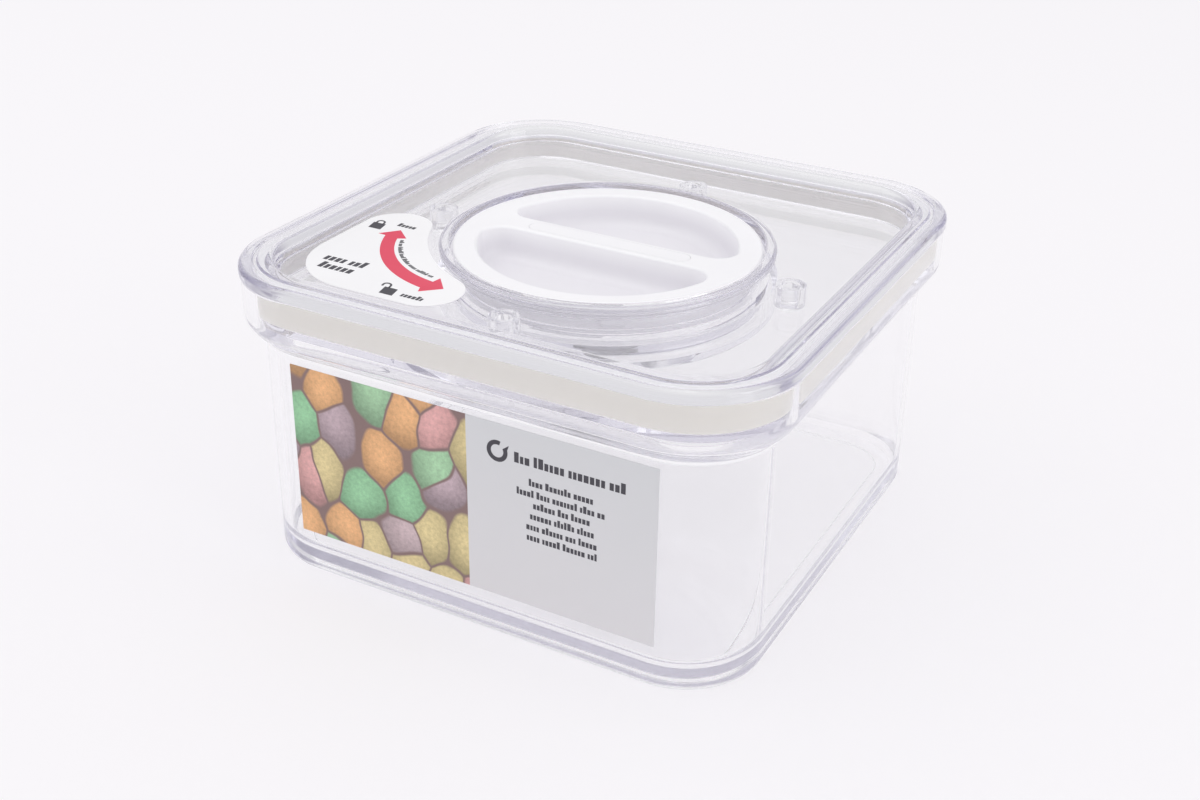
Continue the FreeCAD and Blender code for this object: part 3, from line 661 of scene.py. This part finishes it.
groove_outer = rim_reach - RIM_GROOVE
groove_inner = groove_outer - RIM_GROOVE_WIDE
groove_floor = lid_high.z - RIM_GROOVE_DEEP
lid = Shell()
lid.skin(
    [
        (
            SQUARE,
            [
                (UNDERCUT_REACH - UNDERCUT_STRIP, panel_under),
                (UNDERCUT_REACH, panel_under, SOFT),
                (UNDERCUT_REACH, SKIRT_BOTTOM, EDGE),
                (SKIRT_REACH, SKIRT_BOTTOM, SOFT),
                (SKIRT_REACH, RIM_BOTTOM + HAIR, STEP),
                (rim_reach, RIM_BOTTOM + HAIR, SOFT),
                (rim_reach, lid_high.z, RIM_ROUND),
                (groove_outer, lid_high.z, RIM_GROOVE_ROUND),
                (groove_outer - RIM_GROOVE_SLANT, groove_floor, EDGE),
                (groove_inner + RIM_GROOVE_SLANT, groove_floor, EDGE),
                (groove_inner, lid_high.z, RIM_GROOVE_ROUND),
                (rim_reach - RIM_INNER, lid_high.z, RIM_INNER_ROUND),
                (panel_reach, PANEL_TOP, LIP),
                (panel_reach - PANEL_STRIP, PANEL_TOP),
            ],
        ),
        (
            ROUND,
            [
                (RING_OUTER + RING_STRIP, PANEL_TOP),
                (RING_OUTER, PANEL_TOP, SOFT),
                (RING_OUTER, RING_TOP, FULL),
                (RING_BORE, RING_TOP, FULL),
                (RING_BORE, KNOB_SEAT, EDGE),
                (WELL_BORE, KNOB_SEAT, EDGE),
                (WELL_BORE, HOOK_HIGH, CRISP),
                (HOOK_BORE, HOOK_HIGH, CRISP),
                (HOOK_BORE, HOOK_LOW, CRISP),
                (WELL_BORE, HOOK_LOW, CRISP),
                (WELL_BORE, WELL_FLOOR, WELL_FLOOR_ROUND),
                (BOSS, WELL_FLOOR, EDGE),
                (BOSS, BOSS_TOP, EDGE),
                (BOSS_BORE, BOSS_TOP, FINE),
                (BOSS_BORE, lid_low.z, FINE),
                (WELL_OUTER, lid_low.z, WELL_UNDER_ROUND),
                (WELL_OUTER, panel_under - WELL_ROOT, STEP),
                (RING_OUTER, panel_under - WELL_ROOT, STEP),
                (RING_OUTER, panel_under, STEP),
                (RING_OUTER + RING_STRIP, panel_under),
            ],
        ),
    ],
    closed=True,
)
socket_profile = [
    (SOCKET_MIDDLE, SKIRT_BOTTOM),
    (SOCKET_OUTER, SKIRT_BOTTOM, EDGE),
    (SOCKET_OUTER, panel_under - HAIR, CRISP),
    (SOCKET_BORE, panel_under - HAIR, CRISP),
    (SOCKET_BORE, SKIRT_BOTTOM, FINE),
    (SOCKET_MIDDLE, SKIRT_BOTTOM),
]
socket_angles = [2 * math.pi * i / SOCKET_STEPS for i in range(SOCKET_STEPS)]
for side in ((1, 0), (0, 1), (-1, 0), (0, -1)):
    socket_centre = (side[0] * SOCKET_PLACE, side[1] * SOCKET_PLACE)
    lid.skin([(round_loop(socket_centre, socket_angles), socket_profile)], closed=True)
lid_piece = lid.build("lid_shell", clear_lid)
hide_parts("lid")
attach(lid_piece, "cover")

# Gasket

gasket_bottom = gasket_low.z + HAIR
gasket_top = gasket_high.z - HAIR
gasket = Shell()
gasket.skin(
    [
        (
            SQUARE,
            [
                (gasket_reach - GASKET_THICK / 2, gasket_bottom),
                (gasket_reach, gasket_bottom, FULL),
                (gasket_reach, gasket_top, FULL),
                (gasket_reach - GASKET_THICK, gasket_top, SOFT),
                (gasket_reach - GASKET_THICK, gasket_bottom, SOFT),
                (gasket_reach - GASKET_THICK / 2, gasket_bottom),
            ],
        )
    ],
    closed=True,
)
gasket_piece = gasket.build("gasket_band", silicone)
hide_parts("gasket")
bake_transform(gasket_piece)

# Prints on the label and the sticker, as plain blocks and signs with no lettering


def arc(centre, radius, start, end, steps):
    points = []
    for i in range(steps + 1):
        a = math.radians(start + (end - start) * i / steps)
        points.append((centre[0] + radius * math.cos(a), centre[1] + radius * math.sin(a)))
    return points


# shares of a line's height
WORD_GAP = 0.3
BLOCK_GAP = 0.13
BLOCK_WIDE = (0.3, 0.46)
BLOCK_HIGH = (0.7, 0.7, 0.7, 1.0)
# blocks in a line's first word and in its other words
FIRST_WORD = (3, 6)
NEXT_WORD = (3, 7)


def blocks(rng, start, end, base, height):
    """A line of print as words of little blocks."""
    out = []
    x = start
    left = rng.randint(*FIRST_WORD)
    while True:
        if left == 0:
            left = rng.randint(*NEXT_WORD)
            x += height * WORD_GAP
        wide = height * rng.uniform(*BLOCK_WIDE)
        if x + wide > end:
            return out
        high = base + height * rng.choice(BLOCK_HIGH)
        out.append([(x, base), (x + wide, base), (x + wide, high), (x, high)])
        x += wide + height * BLOCK_GAP
        left -= 1


def around(outline, centre, radius, start):
    """Bends an outline round a centre: along it by angle, up towards the centre."""
    out = []
    for u, v in outline:
        a = start + u / radius
        out.append((centre[0] + (radius - v) * math.cos(a), centre[1] + (radius - v) * math.sin(a)))
    return out


LOCK_HALF = 2.0
LOCK_TALL = 3.9
LOCK_SLANT = 0.2
SHACKLE_OUTER = 1.45
SHACKLE_INNER = 0.85
SHACKLE_FOOT = 3.7
SHACKLE_TOP = 4.6
SHACKLE_STEPS = 14


def padlock(x, y, lift, side):
    """Sign of a padlock: body and shackle, the shackle lifted and moved aside when it is open."""
    body = [(-LOCK_HALF, 0.0), (LOCK_HALF, 0.0), (LOCK_HALF, LOCK_TALL), (-LOCK_HALF, LOCK_TALL)]
    centre = (side, SHACKLE_TOP + lift)
    shackle = (
        [(SHACKLE_OUTER + side, SHACKLE_FOOT)]
        + arc(centre, SHACKLE_OUTER, 0.0, 180.0, SHACKLE_STEPS)
        + [(-r + side, SHACKLE_FOOT + lift) for r in (SHACKLE_OUTER, SHACKLE_INNER)]
        + arc(centre, SHACKLE_INNER, 180.0, 0.0, SHACKLE_STEPS)
        + [(SHACKLE_INNER + side, SHACKLE_FOOT)]
    )
    return [[(x + u - LOCK_SLANT * v, y + v) for u, v in outline] for outline in (body, shackle)]


ARC_SIGN_STEPS = 30
RING_SIGN_STEPS = 40
RED, DARK = 0, 1
rng = random.Random(7)

# the turning arrow: a head at each end of a band between two arcs
arrow = (
    [(-53.4, -23.0), (-57.5, -27.9)]
    + arc((-19.05, -15.4), 38.1, -160.7, -101.0, ARC_SIGN_STEPS)
    + [(-25.4, -55.1), (-20.6, -50.5), (-25.1, -45.3)]
    + arc((-20.9, -16.2), 32.25, -98.2, -157.6, ARC_SIGN_STEPS)
    + [(-48.6, -27.2)]
)
on_sticker = [(arrow, RED)]
shut = padlock(-60.8, -25.4, lift=0.0, side=0.0)
opened = padlock(-31.6, -60.7, lift=0.3, side=-1.9)
on_sticker.extend((outline, DARK) for outline in shut + opened)
# start, end, base and height of each line of print
STICKER_LINES = (
    (-56.4, -50.2, -20.7, 2.2),
    (-27.8, -21.0, -59.8, 2.2),
    (-59.6, -45.6, -50.2, 3.6),
    (-57.9, -46.6, -54.9, 3.6),
)
for line in STICKER_LINES:
    on_sticker.extend((outline, DARK) for outline in blocks(rng, *line))
# one more line follows the arrow on its inner side
CURVE_CENTRE = (-22.9, -17.8)
CURVE_RADIUS = 28.6
CURVE_START = math.radians(-157.0)
for outline in blocks(rng, start=0.0, end=29.5, base=0.0, height=1.3):
    on_sticker.append((around(outline, CURVE_CENTRE, CURVE_RADIUS, CURVE_START), DARK))
sticker_prints = prints(
    "sticker_prints",
    on_sticker,
    lambda u, v, h: (u, v, sticker_high.z + h),
    [ink_red, ink_dark],
)
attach(sticker_prints, "cover")

# the sign for turning: an open ring with a pointed end
SIGN_CENTRE = (9.5, 56.1)
turn_sign = (
    arc(SIGN_CENTRE, 3.0, 70.0, 375.0, RING_SIGN_STEPS)
    + [(12.9, 58.4)]
    + arc(SIGN_CENTRE, 1.8, 390.0, 70.0, RING_SIGN_STEPS)
)
on_label = [(turn_sign, 0)]
LABEL_LINES = (
    (14.4, 46.0, 54.4, 2.9),
    (18.5, 36.7, 48.9, 2.0),
    (15.0, 40.4, 45.7, 2.0),
    (19.7, 36.0, 42.6, 2.0),
    (18.8, 37.0, 39.4, 2.0),
    (17.7, 38.2, 36.2, 2.0),
    (17.8, 38.3, 33.1, 2.0),
)
for line in LABEL_LINES:
    on_label.extend((outline, 0) for outline in blocks(rng, *line))
label_prints = prints(
    "label_prints", on_label, lambda u, v, h: (u, label_low.y - h, v), [ink_dark]
)
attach(label_prints, "container")

# Solids of the frame that keep their own meshes

for name, material in (
    ("clamp_plate", clear),
    ("cam_nut", clear),
    ("knob", knob_white),
    ("grip_cap", white),
    ("spindle", acetal),
    ("thrust_washer", acetal),
    ("spindle_seal", seal_rubber),
    ("knob_screw", steel),
    ("nut_screws", steel),
    ("front_label", label_print),
    ("lid_sticker", sticker_paper),
):
    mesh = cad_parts[name].data
    mesh.materials.clear()
    mesh.materials.append(material)

# Floor: it shines a little where it is seen, and keeps the shadow

BACKDROP = linear(248, 246, 249)
FLOOR_GLOW = 0.6
FLOOR_HALF = 6.0
FLOOR_DROP = -0.0001
floor_nodes = Nodes(bpy.data.materials.new("floor"))
dull = floor_nodes.add("ShaderNodeBsdfDiffuse", {"Color": BACKDROP}).outputs[0]
glow = floor_nodes.add("ShaderNodeEmission", {"Color": BACKDROP, "Strength": 1.0}).outputs[0]
path = floor_nodes.add("ShaderNodeLightPath").outputs
seen = floor_nodes.math("MAXIMUM", path["Is Camera Ray"], path["Is Glossy Ray"])
seen = floor_nodes.math("MAXIMUM", seen, path["Is Transmission Ray"])
share = floor_nodes.math("MULTIPLY", seen, FLOOR_GLOW)
floor_mesh = bpy.data.meshes.new("floor")
floor_mesh.from_pydata(
    [(x * FLOOR_HALF, y * FLOOR_HALF, FLOOR_DROP) for x, y in ((-1, -1), (1, -1), (1, 1), (-1, 1))],
    [],
    [(0, 1, 2, 3)],
)
floor_mesh.materials.append(floor_nodes.finish(floor_nodes.mix_shaders(share, dull, glow)))
floor = put_in_scene("floor", floor_mesh)

# World: bright in front and straight behind, dark walls low down at the sides, an even ceiling

STUDIO_FRONT = (0.47, -0.88, 0.0)
SIDE_WALLS = (0.40, 0.38, 0.46, 1.0)
BRIGHT_WALLS = (0.82, 0.82, 0.83, 1.0)
CEILING = (0.88, 0.88, 0.88, 1.0)
studio = Nodes(bpy.data.worlds.new("studio"), "ShaderNodeOutputWorld")
toward = studio.place("Generated")
facing = studio.vector("DOT_PRODUCT", toward, STUDIO_FRONT)
bright = studio.math(
    "MAXIMUM",
    studio.spread(facing, -0.5, 0.1, smooth=True),
    studio.spread(facing, -0.8, -0.95, high=0.9, smooth=True),
)
walls = studio.mix(bright, SIDE_WALLS, BRIGHT_WALLS)
rise = studio.spread(studio.split(toward)["Z"], 0.2, 0.62, smooth=True)
room = studio.add("ShaderNodeBackground", {"Color": studio.mix(rise, walls, CEILING)}).outputs[0]
plain = studio.add("ShaderNodeBackground", {"Color": BACKDROP}).outputs[0]
to_camera = studio.add("ShaderNodeLightPath").outputs["Is Camera Ray"]
bpy.context.scene.world = studio.finish(studio.mix_shaders(to_camera, room, plain))

# Lamps

LAMP_AIM = Vector((0, 0, 0.05))


def softbox(name, place, size, watts):
    data = bpy.data.lights.new(name, "AREA")
    data.shape = "RECTANGLE"
    data.size, data.size_y = size
    data.energy = watts
    item = put_in_scene(name, data)
    item.location = place
    item.rotation_euler = (LAMP_AIM - Vector(place)).to_track_quat("-Z", "Y").to_euler()


softbox("softbox_top", place=(-0.5, -0.3, 1.7), size=(1.4, 1.4), watts=5.0)
softbox("softbox_left", place=(-1.6, -1.0, 0.9), size=(1.0, 1.2), watts=2.0)
softbox("softbox_right", place=(1.7, -0.1, 0.7), size=(1.0, 1.0), watts=4.0)

# Camera, fitted to the photograph's frame of 1200 by 800

FRAME_WIDTH = 1200.0
FOCAL = 1551.7
SENSOR = 36.0
DISTANCE = 0.4458
AIM_HEIGHT = 0.0468
ELEVATION = math.radians(26.53)
AZIMUTH = math.radians(28.12)
ROLL = math.radians(0.97)
SHIFT = (-0.00498, -0.03325)
camera_data = bpy.data.cameras.new("camera")
camera_data.sensor_width = SENSOR
camera_data.lens = SENSOR * FOCAL / FRAME_WIDTH
camera_data.shift_x, camera_data.shift_y = SHIFT
camera_data.clip_start = 0.01
camera_data.clip_end = 50.0
camera = put_in_scene("camera", camera_data)
back = Vector(
    (
        math.sin(AZIMUTH) * math.cos(ELEVATION),
        -math.cos(AZIMUTH) * math.cos(ELEVATION),
        math.sin(ELEVATION),
    )
)
right = Vector((math.cos(AZIMUTH), math.sin(AZIMUTH), 0.0))
up = back.cross(right)
camera.matrix_world = (
    Matrix.Translation(Vector((0, 0, AIM_HEIGHT)) + back * DISTANCE)
    @ Matrix((right, up, back)).transposed().to_4x4()
    @ Matrix.Rotation(ROLL, 4, "Z")
)

# Light crosses many clear walls, so it may bounce often
BOUNCES = 96
CLEAR_BOUNCES = 64
scene = bpy.context.scene
scene.camera = camera
scene.view_settings.view_transform = "Standard"
scene.cycles.max_bounces = BOUNCES
scene.cycles.transmission_bounces = BOUNCES
scene.cycles.glossy_bounces = BOUNCES
scene.cycles.transparent_max_bounces = CLEAR_BOUNCES
